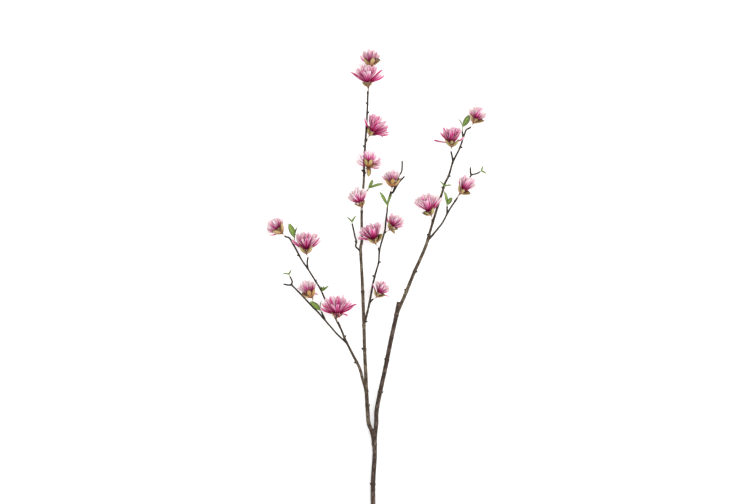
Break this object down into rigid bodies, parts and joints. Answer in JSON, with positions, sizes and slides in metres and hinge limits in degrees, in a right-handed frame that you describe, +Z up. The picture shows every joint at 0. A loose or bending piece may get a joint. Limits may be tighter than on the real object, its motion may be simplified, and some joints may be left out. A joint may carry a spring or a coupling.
{
  "type": "magnolia branch",
  "caption": "Cut forked branch of pink star magnolia in bloom, with strap-petalled flowers in tan bud scales and small leafy shoots, lying flat.",
  "frame": {"origin": "middle of the outline seen from above, on the surface that the branch lies on", "axes": "+Y from the cut end to the top flower, +X to the right in the picture, +Z up from the surface"},
  "size_m": [0.5506, 1.1933, 0.0776],
  "materials": {
    "bark": "rough brown bark",
    "tepal_pink": "soft matt petal",
    "scale_tan": "dull downy bud scale",
    "leaf_green": "satin young leaf"
  },
  "bodies": {
    "root": {"branch": "bark", "calyx_01": "scale_tan", "calyx_02": "scale_tan", "calyx_03": "scale_tan", "calyx_04": "scale_tan", "calyx_05": "scale_tan", "calyx_06": "scale_tan", "calyx_07": "scale_tan", "calyx_08": "scale_tan", "calyx_09": "scale_tan", "calyx_10": "scale_tan", "calyx_11": "scale_tan", "calyx_12": "scale_tan", "calyx_13": "scale_tan", "calyx_14": "scale_tan", "calyx_15": "scale_tan", "calyx_16": "scale_tan", "calyx_17": "scale_tan", "corolla_01": "tepal_pink", "corolla_02": "tepal_pink", "corolla_03": "tepal_pink", "corolla_04": "tepal_pink", "corolla_05": "tepal_pink", "corolla_06": "tepal_pink", "corolla_07": "tepal_pink", "corolla_08": "tepal_pink", "corolla_09": "tepal_pink", "corolla_10": "tepal_pink", "corolla_11": "tepal_pink", "corolla_12": "tepal_pink", "corolla_13": "tepal_pink", "corolla_14": "tepal_pink", "corolla_15": "tepal_pink", "corolla_16": "tepal_pink", "corolla_17": "tepal_pink", "leaf_shoot_a": "leaf_green", "leaf_shoot_b": "leaf_green", "leaf_shoot_c": "leaf_green", "leaf_shoot_d": "leaf_green", "leaf_shoot_e": "leaf_green", "leaf_shoot_f": "leaf_green", "leaf_shoot_h": "leaf_green", "leaf_shoot_i": "leaf_green", "leaf_shoot_j": "leaf_green", "leaf_shoot_k": "leaf_green", "leaf_shoot_m": "leaf_green"}
  },
  "joints": []
}
